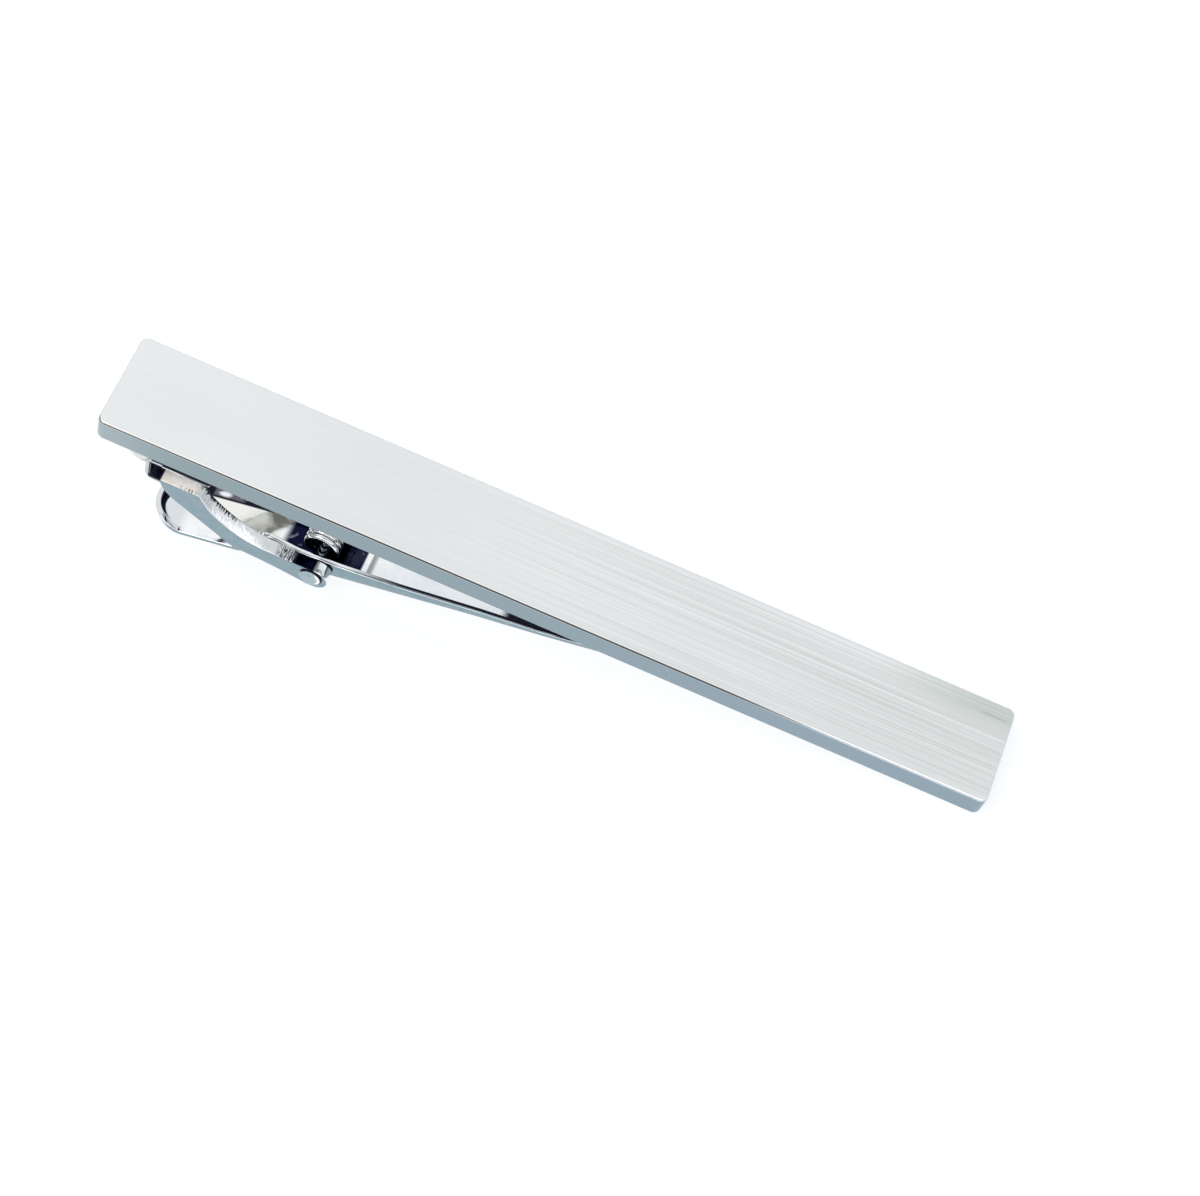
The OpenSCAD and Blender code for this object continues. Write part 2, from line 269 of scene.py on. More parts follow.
def arm_outline():
    """The arm seen from the side, in x, z from the pivot."""
    def at(p):
        """A share of the arm's length and rise as a point."""
        return (p[0] * ARM_L, p[1] * ARM_RISE)

    points = [at((-1, 1))]
    points += curve(*map(at, ARM_TOP), TOP_STEPS)
    points += arc(at(ARM_EAR), EAR_R, 90, -90, EAR_STEPS)
    points += curve(*map(at, ARM_BELLY), BELLY_STEPS)
    points += curve(*map(at, ARM_HEEL), (-ARM_L, ARM_RISE - FOOT_T), HEEL_STEPS)
    return points


def cut_roll(x):
    """How far the cut top edge rolls down at x, between the arm's flat end and its ear."""
    f = (x - ROLL_FROM) / (ROLL_TO - ROLL_FROM)
    return CUT_ROLL * min(1, max(0, f) * ROLL_IN) * min(1, max(0, 1 - f) * ROLL_OUT)


def make_arm(side):
    """One arm, whose cut top edge rolls down towards the outer face."""
    outer, inner = [], []
    for i, (x, z) in enumerate(arm_outline()):
        roll = cut_roll(x) if i <= TOP_STEPS + 1 else 0.0
        outer.append((x, side * BRACKET_W / 2, z - roll))
        inner.append((x, side * (BRACKET_W / 2 - ARM_T), z))
    return slab("arm", outer, inner)


def foot_outline():
    """The folded foot and web seen from the side, in x, z from the pivot."""
    points = [(FOLD_X + FOOT_L, -SOLDER_T)]
    points += arc(FOLD_TOP, FOLD_TOP_R, 90, 180, FOLD_TOP_STEPS)
    points += arc(FOLD_LOW, FOLD_LOW_R, 180, 270, FOLD_LOW_STEPS)
    points += [(FOLD_X + WEB_L, -PAD_DEPTH - FOOT_T), (FOLD_X + WEB_L, -PAD_DEPTH)]
    points += arc(FOLD_LOW, FOLD_LOW_R - FOOT_T, 270, 180, INNER_LOW_STEPS)
    points += arc(FOLD_TOP, FOLD_TOP_R - FOOT_T, 180, 90, INNER_TOP_STEPS)
    points += [(FOLD_X + FOOT_L, -SOLDER_T - FOOT_T)]
    return [(x - PIN[0], z - PIN[1]) for x, z in points]


def make_bracket():
    """The folded foot with an arm on each side."""
    obj = plate("bracket_fork", foot_outline(), BRACKET_W)
    for side in (-1, 1):
        boolean(obj, make_arm(side), "UNION")
    mend(obj, FORK_MERGE, FORK_FLAT)
    bevel(obj, FORK_EDGE, FORK_EDGE_STEPS, FORK_EDGE_ANGLE)
    return finish_mesh(obj, ABOUT_PIVOT, "bar", "bracket", smooth=30.0)


# The solder

# The solder's toe is wavy. Under the foot it is narrower and runs a little into the foot, and past the
# foot it ends in a fillet. The waves are heights, rates and shifts.
SOLDER_ROWS, TOE_STEPS = 60, 16
SOLDER_SINK, SOLDER_INSET = 0.02, 0.4
FILLET_MIDDLE, FILLET_END = 0.15, 0.42
SOLDER_WAVES = ((0.06, 3.1, 0.6), (0.035, 7.3, 2.0))


def solder_row(y):
    """The solder's section at y: its toe, the side of the fold, the foot and a fillet past the foot."""
    wave = sum(height * math.sin(rate * y + shift) for height, rate, shift in SOLDER_WAVES)
    shorter = 0.1 * abs(2 * y / BRACKET_W) ** 14
    toe = SOLDER_TOE * (1 - shorter) + wave
    toe_h = SOLDER_T + FOLD_TOP_R
    row = []
    for i in range(TOE_STEPS + 1):
        left = 1 - i / TOE_STEPS
        row.append((FOLD_X - toe * left, y, -toe_h * (1 - left ** 3)))
    row.append((FOLD_TOP[0] - 0.35 * FOLD_TOP_R, y, -0.8 * toe_h))
    narrow = y * (1 - SOLDER_INSET / BRACKET_W)
    foot_end = FOLD_X + FOOT_L
    row.append((FOLD_TOP[0], narrow, -SOLDER_T - SOLDER_SINK))
    row.append((foot_end, narrow, -SOLDER_T - SOLDER_SINK))
    row.append((foot_end + FILLET_MIDDLE + wave, narrow, -0.55 * SOLDER_T))
    row.append((foot_end + FILLET_END + wave, narrow, 0.0))
    return row


def make_solder():
    """The solder between the foot and the bar, with a thin toe that ran out towards the bar's end."""
    rows = [solder_row(BRACKET_W * (k / SOLDER_ROWS - 0.5)) for k in range(SOLDER_ROWS + 1)]
    obj = tube("solder_fillet", rows)
    return finish_mesh(obj, AS_IT_LIES, "bar", "solder_joint", smooth=50.0)


# The lever

STRIP_END = JAW_REACH * math.cos(SLOPE) + BEND_Z * math.sin(SLOPE)
PAD_START = STRIP_END + JAW_BEND_R * SLOPE
SPINE_L = PAD_START + PAD_L + LIP_R * math.radians(LIP_TURN)
TAB_X = HALF - TAIL_L
TIP_R = HALF / 2

# Radii of the walls' edges, the fillet inside and the lower corner of a low wall, the height from which
# that corner is CORNER_R, and a hair that keeps two points apart
WALL_EDGE_R, FLOOR_FILLET_R, LOW_CORNER_R, FULL_WALL_H, HAIR = 0.055, 0.1, 0.1, 0.4, 0.001

# The walls' outline: lengths as shares of the tail or the jaw, and heights as shares of the floor's drop
TAIL_SHARE = (
    (-0.463, -1), (-0.38, 0.8), (-0.345, 1.7), (-0.295, 2.25), (-0.245, 2.3),
    (-0.175, 1.75), (-0.105, 1.2), (-0.03, 0.95), (0.02, 0.88),
)
JAW_SHARE = ((0.022, 0.74), (0.0515, 0.5), (0.218, -0.16), (0.424, -0.5), (0.576, -1))
WALL_STEP, SOFT_STEPS, SOFT_WIDTH = 0.02, 40, 0.16

# Where the lever's outline has its points: fine up to FINE_END, then coarse, and closer round each tooth
FINE_STEP, FINE_END, COARSE_STEP, STOP_GAP, TIP_GAP = 0.14, 15.2, 0.3, 0.1, 0.02
TOOTH_STOPS, TOOTH_CREST = (0.25, 0.5, 0.72, 0.78, 0.8, 0.83, 0.9, 0.98), 0.8
THUMB_STEPS, TIP_STEPS, BEND_STEPS, EDGE_STEPS = 32, 14, 6, 4
BORE_SIDES = 48


def spine(s):
    """Point and normal of the floor's upper face at the length s from the pivot."""
    if s <= STRIP_END:
        return (s, -FLOOR_DROP), (0.0, 1.0)
    c = (STRIP_END, -FLOOR_DROP - JAW_BEND_R)
    a = (s - STRIP_END) / JAW_BEND_R
    if a <= SLOPE:
        n = (math.sin(a), math.cos(a))
        return (c[0] + JAW_BEND_R * n[0], c[1] + JAW_BEND_R * n[1]), n
    n = (math.sin(SLOPE), math.cos(SLOPE))
    d = (math.cos(SLOPE), -math.sin(SLOPE))
    p = (c[0] + JAW_BEND_R * n[0], c[1] + JAW_BEND_R * n[1])
    along = s - PAD_START
    if along <= PAD_L:
        return (p[0] + along * d[0], p[1] + along * d[1]), n
    lip = (p[0] + PAD_L * d[0] - LIP_R * n[0], p[1] + PAD_L * d[1] - LIP_R * n[1])
    a = SLOPE + (along - PAD_L) / LIP_R
    n = (math.sin(a), math.cos(a))
    return (lip[0] + LIP_R * n[0], lip[1] + LIP_R * n[1]), n


def wall_table():
    """Heights of the walls over the floor, sampled along the lever and softened."""
    knots = [(s * TAIL_L, h * FLOOR_DROP) for s, h in TAIL_SHARE]
    knots += [(s * JAW_REACH, h * FLOOR_DROP) for s, h in JAW_SHARE]
    s = np.arange(-TAIL_L - 1, SPINE_L + 1, WALL_STEP)
    h = np.interp(s, *zip(*knots), left=-FLOOR_DROP, right=-FLOOR_DROP) + FLOOR_DROP
    soft = np.exp(-0.5 * (np.arange(-SOFT_STEPS, SOFT_STEPS + 1) * WALL_STEP / SOFT_WIDTH) ** 2)
    h = np.convolve(np.pad(h, SOFT_STEPS, mode="edge"), soft / soft.sum(), mode="valid")
    fade = np.clip((s + TAIL_L - SHEET_T) / HALF, 0, 1)
    return s, np.maximum(h, RIM_H * (1 - fade * fade * (3 - 2 * fade)))


WALL_S, WALL_H = wall_table()


def tooth(s):
    """How far the teeth rise over the pad at the length s."""
    along = s - PAD_START
    if along <= 0 or along >= PAD_L:
        return 0.0
    pitch = PAD_L / TOOTH_COUNT
    f = (along % pitch) / pitch
    return TOOTH_H * (f / TOOTH_CREST if f < TOOTH_CREST else (1 - f) / (1 - TOOTH_CREST))


def on_sheet(s, y, n):
    """The point at s along the floor, y across it and n over it. The teeth lift the upper face alone."""
    (px, pz), (nx, nz) = spine(s)
    if n > -0.5 * SHEET_T:
        n += tooth(s)
    return (px + n * nx, y, pz + n * nz)


def lever_stations():
    """One side of the lever's outline in plan, from the thumb's tip to the jaw's: s, y, outward normal."""
    stations = []
    for i in range(THUMB_STEPS + 1):
        a = math.radians(180 - 90 * i / THUMB_STEPS)
        stations.append((TAB_X + HALF * math.cos(a), HALF * math.sin(a), math.cos(a), math.sin(a)))
    stops = list(np.arange(TAB_X + FINE_STEP, FINE_END, FINE_STEP))
    stops += list(np.arange(FINE_END + STOP_GAP, PAD_START - STOP_GAP, COARSE_STEP))
    stops += [PAD_START]
    for i in range(TOOTH_COUNT):
        stops += [PAD_START + (i + f) * PAD_L / TOOTH_COUNT for f in TOOTH_STOPS]
    stops += [PAD_START + PAD_L]
    last = SPINE_L - TIP_R
    stations += [(s, HALF, 0.0, 1.0) for s in stops if s < last - TIP_GAP]
    for i in range(TIP_STEPS + 1):
        a = math.radians(90 - 90 * i / TIP_STEPS)
        s, y = last + TIP_R * math.cos(a), HALF - TIP_R + TIP_R * math.sin(a)
        stations.append((s, y, math.cos(a), math.sin(a)))
    return stations


def wall_section(h):
    """The channel's section where its wall is h high: depth in from its side, and height over its floor."""
    t, edge = SHEET_T, WALL_EDGE_R
    bend = LOW_CORNER_R + (CORNER_R - LOW_CORNER_R) * min(h / FULL_WALL_H, 1.0)
    fillet = min(FLOOR_FILLET_R, max(h - edge, 0.0))
    inner = min(edge, h / 2)
    section = [(t + FLOOR_FILLET_R, -t), (bend, -t)]
    section += arc((bend, bend - t), bend, 270, 180, BEND_STEPS)[1:]
    section += [(0.0, (h + bend - t - edge) / 2)]
    section += arc((edge, h - edge), edge, 180, 90, EDGE_STEPS)
    section += arc((t - inner, h - inner), inner, 90, 0, EDGE_STEPS)
    section += [(t, (fillet + h - inner) / 2)]
    section += arc((t + fillet, fillet), fillet, 180, 270, EDGE_STEPS)
    section += [(t + FLOOR_FILLET_R + HAIR, 0.0)]
    return section


def floor_faces(stations, count, width):
    """Faces across the lever, under and over its floor, from one side's points to the other's."""
    faces = []
    for i in range(stations - 1):
        across = (i, i + 1, (count - i - 1) % count, (count - i) % count)
        for j in (0, width - 1):
            face = tuple(dict.fromkeys(k * width + j for k in across))
            faces.append(face[::-1] if j == 0 else face)
    return faces


def make_lever():
    """The stamped channel with its walls, bore, jaw and teeth."""
    half = lever_stations()
    loop = half + [(s, -y, ns, -ny) for s, y, ns, ny in reversed(half[1:])]
    rings = []
    for s, y, ns, ny in loop:
        section = wall_section(float(np.interp(s, WALL_S, WALL_H)))
        rings.append([on_sheet(s - d * ns, y - d * ny, n) for d, n in section])
    width = len(rings[0])
    faces = ring_faces(len(loop), width, looped=True, closed=False)
    faces += floor_faces(len(half), len(loop), width)
    obj = new_object("lever_channel", [point for ring in rings for point in ring], faces)
    mend(obj, POINT_MERGE)
    circle = arc((0, 0), PIN_R + PIN_CLEAR, 0, 360 - 360 / BORE_SIDES, BORE_SIDES - 1)
    boolean(obj, plate("bore", circle, LEVER_W + 1), "DIFFERENCE")
    return finish_mesh(obj, ON_LEVER, "lever", "lever", smooth=34.0)


# The rivet

# The head's place on the arm's face and its rim, then the steps and the two powers of its dome
HEAD_SINK, HEAD_CHAMFER, DOME_STEPS, DOME_IN, DOME_UP, PIN_SIDES = 0.01, 0.02, 20, 0.9, 0.75, 64


def make_pin():
    """The rivet's shank with a low dome at each end."""
    face = BRACKET_W / 2
    side = [(PIN_R, 0.0), (PIN_R, face - HEAD_SINK)]
    side += [(HEAD_R - HEAD_CHAMFER, face - HEAD_SINK), (HEAD_R, face + HEAD_SINK)]
    for i in range(1, DOME_STEPS):
        a = math.radians(90 * i / DOME_STEPS)
        rise = (HEAD_H - HEAD_SINK) * math.sin(a) ** DOME_UP
        side.append((HEAD_R * math.cos(a) ** DOME_IN, face + HEAD_SINK + rise))
    side.append((0.0, face + HEAD_H))
    obj = revolve("pivot_rivet", [(r, -y) for r, y in reversed(side)] + side[1:], PIN_SIDES)
    mend(obj, POINT_MERGE)
    return finish_mesh(obj, ABOUT_PIVOT, "bar", "pivot_pin", smooth=40.0)


# The spring

WIRE_R = WIRE_D / 2
COIL_AT = on_lever(0, COIL_R - WIRE_R - PIN_R - SPRING_CLEAR)
TO_WEB = (
    WEB_L / 2 - FOOT_REACH - COIL_AT[0],
    ARM_RISE - FOOT_T - WIRE_R - SPRING_CLEAR - COIL_AT[1],
)
LEG_RISE = math.atan2(TO_WEB[1], -TO_WEB[0]) - math.asin(COIL_R / math.hypot(*TO_WEB))
WEB_LEG = math.sqrt(TO_WEB[0] ** 2 + TO_WEB[1] ** 2 - COIL_R ** 2)
COIL_START = SLOPE - math.pi / 2
COIL_END = math.pi / 2 - LEG_RISE + 2 * math.pi * COIL_TURNS
COIL_L = COIL_PITCH * (COIL_END - COIL_START) / (2 * math.pi)
COIL_STEPS, FLOOR_LEG_STEPS, WEB_LEG_STEPS, WIRE_SIDES = 32 * COIL_TURNS, 10, 14, 14
WIRE_END_INSET, WIRE_END_DEPTH = 0.04, 0.035


def on_coil(f):
    """The wire's middle at the share f of the coil."""
    a = COIL_START + (COIL_END - COIL_START) * f
    x, z = COIL_AT[0] + COIL_R * math.cos(a), COIL_AT[1] + COIL_R * math.sin(a)
    return Vector((x, COIL_L * (f - 0.5), z))


def leg(start, way, length, steps):
    """Points of a straight leg, its start left out."""
    return [start + length * k / steps * way for k in range(1, steps + 1)]


def wire_ring(at, way, r):
    """A ring of points about the wire's middle, square to its way."""
    a = way.cross(Vector((0, 1, 0))).normalized()
    b = way.cross(a).normalized()
    turns = [2 * math.pi * k / WIRE_SIDES for k in range(WIRE_SIDES)]
    return [at + r * (math.cos(turn) * a + math.sin(turn) * b) for turn in turns]


def make_spring():
    """The wire from its leg on the lever's floor, round the rivet, to its leg under the foot."""
    floor_way = -Vector((math.cos(SLOPE), 0, math.sin(SLOPE)))
    web_way = Vector((-math.cos(LEG_RISE), 0, math.sin(LEG_RISE)))
    path = leg(on_coil(0), floor_way, FLOOR_LEG, FLOOR_LEG_STEPS)[::-1]
    path += [on_coil(i / COIL_STEPS) for i in range(COIL_STEPS + 1)]
    path += leg(on_coil(1), web_way, WEB_LEG, WEB_LEG_STEPS)
    last = len(path) - 1
    ways = [(path[min(i + 1, last)] - path[max(i - 1, 0)]).normalized() for i in range(last + 1)]
    tip_r = WIRE_R - WIRE_END_INSET
    rings = [wire_ring(path[0], ways[0], tip_r)]
    rings += [wire_ring(path[0] + WIRE_END_DEPTH * ways[0], ways[0], WIRE_R)]
    rings += [wire_ring(at, way, WIRE_R) for at, way in zip(path[1:-1], ways[1:-1])]
    rings += [wire_ring(path[-1] - WIRE_END_DEPTH * ways[-1], ways[-1], WIRE_R)]
    rings += [wire_ring(path[-1], ways[-1], tip_r)]
    obj = tube("coil_spring", rings)
    finish_mesh(obj, ABOUT_PIVOT, None, "torsion_spring", smooth=50.0)
    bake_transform(obj)
    return obj


# Shader nodes

# Sockets of a colour mix, and the usual range of a noise
MIX_INPUTS, MIX_RESULT = (0, 6, 7), 2
NOISE_LOW, NOISE_HIGH, PATCH_OFF, PATCH_ON = 0.3, 0.7, 0.35, 0.65


def node(tree, kind, **settings):
    """A new shader node with these settings."""
    made = tree.nodes.new("ShaderNode" + kind)
    for key, value in settings.items():
        setattr(made, key, value)
    return made


def feed(tree, socket, x):
    """Puts a number or a colour on a socket, or links another node's output to it."""
    if isinstance(x, (int, float)):
        socket.default_value = x
    elif isinstance(x, tuple):
        socket.default_value = (*x, 1)
    else:
        tree.links.new(x, socket)


def bare_tree(owner):
    """The emptied node tree of a material or a world."""
    owner.use_nodes = True
    owner.node_tree.nodes.clear()
    return owner.node_tree


def new_material(name):
    """A new material, its node tree and its shader."""
    mat = bpy.data.materials.new(name)
    tree = bare_tree(mat)
    shader = node(tree, "BsdfPrincipled")
    tree.links.new(shader.outputs[0], node(tree, "OutputMaterial").inputs[0])
    return mat, tree, shader


def scaled(tree, vector, factor):
    """A vector or a colour times a number."""
    made = node(tree, "VectorMath", operation="SCALE")
    tree.links.new(vector, made.inputs[0])
    feed(tree, made.inputs["Scale"], factor)
    return made.outputs[0]


def laid_back(tree, matrix):
    """Object coordinates, in millimetres of the drawing that the matrix lays in place, and the normal."""
    coord = node(tree, "TexCoord")
    back = node(tree, "Mapping")
    inverse = matrix.inverted()
    back.inputs["Scale"].default_value = (1, 1, 1)
    back.inputs["Rotation"].default_value = inverse.to_3x3().normalized().to_euler()
    back.inputs["Location"].default_value = inverse.translation * MM
    tree.links.new(coord.outputs["Object"], back.inputs[0])
    return scaled(tree, back.outputs[0], 1 / MM), coord.outputs["Normal"]


def parts(tree, vector):
    """The x, y and z of a vector."""
    made = node(tree, "SeparateXYZ")
    tree.links.new(vector, made.inputs[0])
    return made.outputs[0], made.outputs[1], made.outputs[2]


def noise(tree, vector, pitch, detail=2.0, rough=0.5, offset=0.0):
    """Noise whose grains are about as long as pitch, in millimetres along x, y and z."""
    scale = node(tree, "Mapping")
    scale.inputs["Scale"].default_value = tuple(1 / p for p in pitch)
    scale.inputs["Location"].default_value = (offset, offset, offset)
    made = node(tree, "TexNoise")
    made.inputs["Scale"].default_value = 1.0
    made.inputs["Detail"].default_value = detail
    made.inputs["Roughness"].default_value = rough
    tree.links.new(vector, scale.inputs[0])
    tree.links.new(scale.outputs[0], made.inputs["Vector"])
    return made.outputs["Fac"]


def spread(tree, value, low, high, to_low, to_high, smooth=False):
    """Takes the range low to high to another range, and stops at its ends."""
    made = node(tree, "MapRange")
    made.interpolation_type = "SMOOTHSTEP" if smooth else "LINEAR"
    for i, x in zip(range(1, 5), (low, high, to_low, to_high)):
        made.inputs[i].default_value = x
    tree.links.new(value, made.inputs[0])
    return made.outputs[0]


def step(tree, value, off, on):
    """0 on the off side, 1 on the on side and smooth between them."""
    return spread(tree, value, off, on, 0.0, 1.0, True)


def flipped(tree, mask):
    """1 where the mask is 0, and 0 where it is 1."""
    return step(tree, mask, 1.0, 0.0)


def swing(tree, grain, low, high):
    """Takes the usual range of a noise to another range."""
    return spread(tree, grain, NOISE_LOW, NOISE_HIGH, low, high)


def between(tree, mask, off, on):
    """off where the mask is 0, on where it is 1, and even between them."""
    return spread(tree, mask, 0.0, 1.0, off, on)


def patches(tree, vector, pitch, detail=3.0, rough=0.6, offset=9.2):
    """Soft patches, 0 in some places and 1 in others."""
    return step(tree, noise(tree, vector, pitch, detail, rough, offset), PATCH_OFF, PATCH_ON)


def math_node(tree, operation, a, b):
    """One operation on two values."""
    made = node(tree, "Math", operation=operation)
    feed(tree, made.inputs[0], a)
    feed(tree, made.inputs[1], b)
    return made.outputs[0]


def chain(tree, operation, first, *others):
    """One operation over several values."""
    for other in others:
        first = math_node(tree, operation, first, other)
    return first


def total(tree, *values):
    """The sum of several values."""
    return chain(tree, "ADD", *values)


def product(tree, *values):
    """Several values multiplied."""
    return chain(tree, "MULTIPLY", *values)


def largest(tree, *values):
    """The largest of several values."""
    return chain(tree, "MAXIMUM", *values)


def minus(tree, *values):
    """The first value less the others."""
    return chain(tree, "SUBTRACT", *values)


def size_of(tree, value):
    """A value without its sign."""
    return math_node(tree, "ABSOLUTE", value, 0.0)


def zone(tree, *limits):
    """1 where every limit holds. A limit is a mask, or a value with where it is off and where it is on."""
    return product(tree, *(step(tree, *limit) if isinstance(limit, tuple) else limit for limit in limits))


def radius_squared(tree, a, b, middle=0.0):
    """Square of the distance from the axis at a = middle, b = 0."""
    a = minus(tree, a, middle)
    return total(tree, product(tree, a, a), product(tree, b, b))


def mix(tree, factor, a, b):
    """Colour a where the factor is 0, colour b where it is 1."""
    made = node(tree, "Mix", data_type="RGBA")
    for i, x in zip(MIX_INPUTS, (factor, a, b)):
        feed(tree, made.inputs[i], x)
    return made.outputs[MIX_RESULT]


def paint(tree, colour, *coats):
    """A colour under coats of paint, each of them a mask and the colour that it brings."""
    for mask, tone in coats:
        colour = mix(tree, mask, colour, tone)
    return colour


def facing(tree, normal, direction):
    """How far a surface faces a direction given in the row frame."""
    made = node(tree, "VectorMath", operation="DOT_PRODUCT")
    made.inputs[1].default_value = direction
    tree.links.new(normal, made.inputs[0])
    return made.outputs["Value"]


def facing_up(tree, normal, matrix):
    """How far a surface faces the Z of the drawing that the matrix lays in place."""
    return facing(tree, normal, matrix.to_3x3().normalized() @ Vector((0, 0, 1)))


def facing_side(tree, normal):
    """1 on the surfaces that face along Y, either way."""
    return step(tree, size_of(tree, facing(tree, normal, (0, 1, 0))), 0.70, 0.97)


def set_surface(tree, shader, colour, rough, height, depth, metallic=1.0):
    """Gives a shader its colour, roughness and share of metal, and a relief of this depth in metres."""
    feed(tree, shader.inputs["Base Color"], colour)
    feed(tree, shader.inputs["Roughness"], rough)
    feed(tree, shader.inputs["Metallic"], metallic)
    relief = node(tree, "Bump")
    relief.inputs["Distance"].default_value = depth
    tree.links.new(height, relief.inputs["Height"])
    tree.links.new(relief.outputs[0], shader.inputs["Normal"])


# Colours shared by the plated pieces

NAVY, BLACK = (0.006, 0.008, 0.03), (0.012, 0.013, 0.022)
PLATE_DULL, PLATE_BRIGHT = (0.88, 0.90, 0.91), (0.94, 0.95, 0.95)
# The walls' blue-grey is a painted reflection, given to the faces that look along Y.
WALL_REFLECTION_DULL, WALL_REFLECTION_BRIGHT = (0.245, 0.342, 0.39), (0.28, 0.37, 0.41)

# In the masks of the materials x, y and z are millimetres of the drawing, from the middle of the bar's
# back or from the pivot, and u and v run along and above the lever from the pivot.

# The bar's colours

# The front's tones are partly painted reflection: over the brushed metal it runs lighter to the left and
# darker to the right.
FACE_LEFT, FACE_RIGHT, FACE_CORNER = (0.815, 0.822, 0.812), (0.712, 0.724, 0.711), (0.545, 0.585, 0.55)
SCRATCH = (0.40, 0.42, 0.38)
# Painted highlight for the rounded front edges, and a softer one for the right end's edge.
RIM_HIGHLIGHT, END_RIM_HIGHLIGHT = (0.95, 0.96, 0.99), (0.70, 0.73, 0.78)
# Painted dark reflection along the near front edge, lighter at its left end.
DARK_EDGE_REFLECTION_LEFT, DARK_EDGE_REFLECTION_RIGHT = (0.30, 0.29, 0.27), (0.10, 0.095, 0.09)
# Painted blue-grey reflection on the sides and ends, paler at the left end.
SIDE_REFLECTION_LEFT, SIDE_REFLECTION_RIGHT = (0.264, 0.330, 0.352), (0.270, 0.360, 0.425)
SIDE_REFLECTION_END, SIDE_GRAIN, BAR_BACK = (0.37, 0.435, 0.465), (0.32, 0.39, 0.43), (0.86, 0.88, 0.89)


def brushed_material():
    """Brushed along the bar on the front, satin sides and ends, polished back, painted reflections and
    highlights.
    """
    mat, tree, shader = new_material("brushed_front")
    at, normal = laid_back(tree, AS_IT_LIES)
    x, y, _ = parts(tree, at)
    fine = noise(tree, at, (14.0, 0.08, 14.0), detail=1.0)
    lines = noise(tree, at, (22.0, 0.13, 22.0), detail=1.0, offset=7.3)
    bands = noise(tree, at, (45.0, 0.50, 45.0), offset=3.1)
    cloud = noise(tree, at, (9.0, 4.0, 9.0), offset=11.7)
    grain = noise(tree, at, (0.12, 0.12, 0.12))
    turned = facing_up(tree, normal, AS_IT_LIES)
    front = step(tree, turned, 0.15, 0.40)
    back = step(tree, turned, -0.6, -0.9)
    along = spread(tree, x, -BAR_L / 2, BAR_L / 2, 0.0, 1.0)

    streaks = total(
        tree, swing(tree, lines, -0.10, 0.10), swing(tree, fine, -0.03, 0.03),
        swing(tree, bands, -0.015, 0.015),
    )
    streaks = product(tree, streaks, spread(tree, x, -14.0, 16.0, 0.08, 1.0, True))
    streaks = total(tree, streaks, swing(tree, cloud, 0.985, 1.015))
    # Painted reflection: the front is darker in its far corner.
    far_corner = zone(tree, (x, 18.0, 26.0), (y, 0.4, 3.0))
    face = paint(tree, mix(tree, along, FACE_LEFT, FACE_RIGHT), (far_corner, FACE_CORNER))
    from_scratch = size_of(tree, minus(tree, y, 2.25))
    scratch = zone(tree, (from_scratch, 0.07, 0.02), (x, 25.2, 25.9), (x, 27.2, 26.9), 0.7)
    near = zone(tree, (y, -2.6, -3.0), (x, 19.0, 11.0))
    # Painted highlight along the front's rounded edges except the near edge's left part, softer along the
    # right end, whose edge is also less metallic.
    rim = zone(tree, (turned, 0.97, 0.90), flipped(tree, near))
    right_end = step(tree, x, 27.0, 27.2)
    # Painted dark reflection in a line along the near front edge's left part, lighter at the bar's left
    # end.
    dark_edge_reflection = zone(tree, near, (turned, 0.93, 0.82), (turned, 0.30, 0.50))
    face = paint(
        tree, scaled(tree, face, streaks),
        (scratch, SCRATCH),
        (rim, mix(tree, right_end, RIM_HIGHLIGHT, END_RIM_HIGHLIGHT)),
        (dark_edge_reflection, mix(tree, step(tree, x, -25.0, -16.0), DARK_EDGE_REFLECTION_LEFT, DARK_EDGE_REFLECTION_RIGHT)),
    )
    # The sides and ends are painted blue-grey as reflection, paler at the left end, with their own grain;
    # the back keeps its bright polish.
    side = paint(
        tree, mix(tree, along, SIDE_REFLECTION_LEFT, SIDE_REFLECTION_RIGHT),
        (step(tree, x, -22.0, -27.4), SIDE_REFLECTION_END),
        (swing(tree, grain, 0.0, 0.3), SIDE_GRAIN),
        (back, BAR_BACK),
    )
    set_surface(
        tree, shader,
        colour=mix(tree, front, side, face),
        rough=minus(tree, swing(tree, lines, 0.26, 0.36), between(tree, back, 0.0, 0.16)),
        height=product(tree, bands, front),
        depth=0.000003,
        metallic=between(tree, product(tree, rim, front, right_end), 1.0, 0.3),
    )
    return mat


# The lever's colours

TAB, CREAM, GLINT = (0.72, 0.74, 0.755), (0.88, 0.87, 0.82), (0.45, 0.52, 0.58)
# LIP is a painted slate reflection on the walls' top edges.
FOLD, LIP = (0.22, 0.21, 0.20), (0.46, 0.53, 0.57)
# Painted reflection of the far wall on the lever's floor, and its painted highlight.
STRIP_DARK, STRIP_PALE, STRIP_HIGHLIGHT = (0.13, 0.125, 0.15), (0.30, 0.30, 0.33), (0.88, 0.88, 0.93)
SPOT_U, SPOT_Y, SPOT_SQUEEZE = -7.5, 1.3, 0.45


